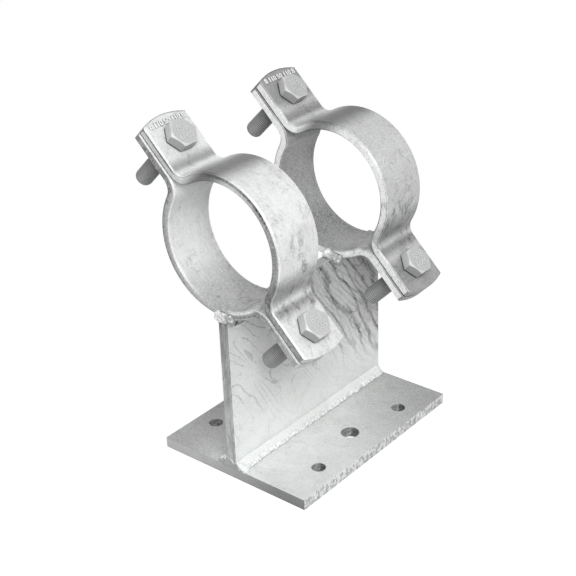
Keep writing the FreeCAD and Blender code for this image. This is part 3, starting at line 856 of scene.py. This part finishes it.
def lumps(name, blobs, material, *stands_for):
    """A rough bead: many small balls grown into one skin, smoothed and pitted."""
    bm = bmesh.new()
    for place, radius in blobs:
        bmesh.ops.create_icosphere(bm, subdivisions=2, radius=radius, matrix=Matrix.Translation(place))
    mesh = bpy.data.meshes.new(name)
    bm.to_mesh(mesh)
    bm.free()
    piece = add_piece(name, mesh, material, "weld_zinc", *stands_for)
    grown = piece.modifiers.new("grown", "REMESH")
    grown.mode = "VOXEL"
    grown.voxel_size = LUMP_GRAIN
    grown.use_smooth_shade = True
    eased = piece.modifiers.new("eased", "SMOOTH")
    eased.factor = 0.6
    eased.iterations = 6
    pits = bpy.data.textures.new(f"{name}_pits", "CLOUDS")
    pits.noise_scale = 1.7 * MM
    pits.noise_depth = 3
    rough = piece.modifiers.new("rough", "DISPLACE")
    rough.texture = pits
    rough.strength = 1.4 * MM
    rough.mid_level = 0.6


def band_bottom(x):
    """Height of a band's outer face over the web at x."""
    return AXIS_Z - math.sqrt((BORE + BAND) ** 2 - x ** 2)


def clamp_bead(clamp, edge, seed):
    """A bead across the web at one edge of a clamp."""
    dice = random.Random(seed)
    flush = clamp == "front" and edge == "toe"
    out = -1 if edge == "toe" else 1
    face = CLAMP_FACE[clamp] + (0 if edge == "toe" else BAND_WIDE)
    blobs = []
    first, last = FLUSH_SPAN if flush else BEAD_SPANS[edge]
    for step in range(BEAD_PLACES):
        x = (first + (last - first) * step / (BEAD_PLACES - 1) + dice.uniform(-0.8, 0.8)) * MM
        for layer in range(BEAD_LAYERS):
            radius = dice.uniform(1.3, 2.7) * MM - 0.05 * x + (0.0 if flush else 0.3 * MM)
            if flush:
                y = face + out * dice.uniform(-1.0, 0.9) * MM
                z = WEB_TOP + (layer - 1) * 2.8 * MM + dice.uniform(-1.0, 1.0) * MM
                if abs(x) > WEB_HALF and layer == 0:
                    z += 2.0 * MM
            else:
                y = face + out * (0.6 + layer * 1.5 + dice.uniform(-0.5, 0.5)) * MM
                z = band_bottom(x) + (2.2 - layer * 1.3 + dice.uniform(-0.6, 0.6)) * MM
                if edge == "toe":
                    z += (2.6 - 0.3 * x / MM) * MM
            y = max(y, frame_box[0][1] + radius + ROOM)
            blobs.append((Vector((x, y, z)), radius))
    if flush:
        for _ in range(RUN_BALLS):
            x = WEB_HALF + dice.uniform(0.1, 1.0) * MM
            y = -END_Y + dice.uniform(1.0, 8.0) * MM
            z = WEB_TOP - dice.uniform(1.0, 7.5) * MM
            blobs.append((Vector((x, y, z)), dice.uniform(1.1, 1.9) * MM))
        for step in range(LIP_BALLS):
            along = step / (LIP_BALLS - 1)
            y = -END_Y + (1.0 + 17.0 * along) * MM
            z = WEB_TOP - (6.2 + 4.6 * min(1.0, along / 0.4)) * MM
            blobs.append((Vector((WEB_HALF + 0.6 * MM, y, z)), dice.uniform(0.9, 1.4) * MM))
    name = f"weld_{edge}_{clamp}"
    lumps(f"{name}_bead", blobs, weld_zinc, name)


clamp_bead("front", "toe", 40)
clamp_bead("front", "heel", 41)
clamp_bead("rear", "toe", 42)
clamp_bead("rear", "heel", 43)

FOOT_LEG = 8.0 * MM
FOOT_SHORT = 0.4 * MM    # how far the bead stops before the web's ends
FOOT_STEPS = 520         # rings along it
FOOT_PROFILE = 12        # steps across its face
FOOT_WAVES = 7           # slow waves in its width
ONCE_ROUND = 6.28        # a full turn of a wave
RIPPLE_LONG = 2.3 * MM
RIPPLE_HIGH = 0.1 * MM
FADE_STEPS = 12          # rings over which it narrows at each end
CREST = ((-9.5, 2.0), (-5.0, 8.5), (-3.5, 8.0), (0.0, 6.4), (8.0, 0.8))    # x and height, in mm
CREST_STEPS = 16         # between two of its points
CREST_LEVELS = 5         # of balls below it
DRIP_BALLS = 34


def foot_bead(side_name, side, seed):
    """The long fillet at the web's foot, with the small waves of a hand-laid bead."""
    dice = random.Random(seed)
    waves = []
    for _ in range(FOOT_WAVES):
        waves.append((dice.uniform(0.5, 3.0), dice.uniform(0, ONCE_ROUND), dice.uniform(0.2, 0.5)))
    rings = []
    ragged = 0.0
    for step in range(FOOT_STEPS + 1):
        y = -END_Y + FOOT_SHORT + 2 * (END_Y - FOOT_SHORT) * step / FOOT_STEPS
        sway = sum(size * math.sin(y / MM * rate / ONCE_ROUND + turn) for rate, turn, size in waves) / 2.2
        leg = FOOT_LEG - 1.1 * MM + sway * 0.55 * MM
        ripple = RIPPLE_HIGH * math.sin(2 * math.pi * y / RIPPLE_LONG + 2 * sway)
        ragged = 0.72 * ragged + dice.uniform(-0.5, 0.4) * MM
        ends = min(1.0, (step + 3) / FADE_STEPS, (FOOT_STEPS - step + 3) / FADE_STEPS)
        leg = leg * (0.7 + 0.3 * ends)
        ring = [Vector((side * (WEB_HALF - 0.5 * MM), y, BASE_TOP - 0.5 * MM))]
        for i in range(FOOT_PROFILE + 1):
            t = i / FOOT_PROFILE
            bulge = math.sin(math.pi * t) * (ripple - 0.5 * MM) + 0.5 * MM * math.sin(2 * math.pi * t) ** 2
            x = WEB_HALF + (leg + 1.0 * MM + ragged * t * t) * t + bulge * 0.7
            z = BASE_TOP + (leg + 1.0 * MM) * (1 - t) + bulge * 0.7
            if t > 0.6:
                x += dice.uniform(-0.25, 0.25) * MM
                z += dice.uniform(0, 0.3) * MM
            ring.append(Vector((side * x, y, z)))
        if side < 0:
            ring = ring[::-1]
        rings.append(ring)
    name = f"weld_foot_{side_name}"
    mesh = skin(f"{name}_bead", rings)
    add_piece(f"{name}_bead", mesh, foot_zinc, "weld_zinc", name)


foot_bead("right", 1, 7)
foot_bead("left", -1, 8)


def foot_end(side_name, side, seed):
    """The bead's blunt, dripping start at the web's near end. The left one also covers
    the web's end below the crest."""
    dice = random.Random(seed)
    blobs = []
    spans = list(zip(CREST, CREST[1:])) if side < 0 else []
    for (x_1, z_1), (x_2, z_2) in spans:
        for step in range(CREST_STEPS):
            share = step / (CREST_STEPS - 1)
            x = (x_1 + (x_2 - x_1) * share) * MM
            top = (z_1 + (z_2 - z_1) * share) * MM
            for level in range(CREST_LEVELS):
                y = -END_Y + dice.uniform(0.3, 0.6) * MM
                z = BASE_TOP + top * level / (CREST_LEVELS - 1)
                blobs.append((Vector((x, y, z)), dice.uniform(0.9, 1.3) * MM))
    for step in range(DRIP_BALLS):
        share = step / (DRIP_BALLS - 1)
        radius = dice.uniform(1.6, 2.8) * MM
        away = dice.uniform(0.2, 8.0) * MM
        y = -END_Y + dice.uniform(0.4, 6.0) * MM
        z = BASE_TOP + dice.uniform(0.1, 0.75) * (8.5 * MM - away)
        if side < 0:
            away = 0.3 * MM + 9.5 * MM * share
            y = -END_Y + dice.uniform(1.4, 4.0) * MM
            z = BASE_TOP + dice.uniform(0.2, 5.4) * MM * math.sin(math.pi * (0.12 + 0.8 * share))
            radius += 0.5 * MM
        blobs.append((Vector((side * (WEB_HALF + away), y, z)), radius))
    lumps(f"weld_foot_end_{side_name}", blobs, end_zinc)


foot_end("right", 1, 71)
foot_end("left", -1, 72)


# Raised figures on the covers' upper lugs

LUG_FIGURES = -110.6 * MM    # their place on the lug, from the clamp's middle
for clamp_name in CLAMP_FACE:
    on_lug = lug_frame(clamp_name, LUG_FIGURES, Vector((0, 1, 0)), -ACROSS)
    digits(f"lug_mark_{clamp_name}", "8 110 50 110 8", 6.6 * MM, 0.8 * MM,
           "strap_zinc", lug_mark_zinc, on_lug)
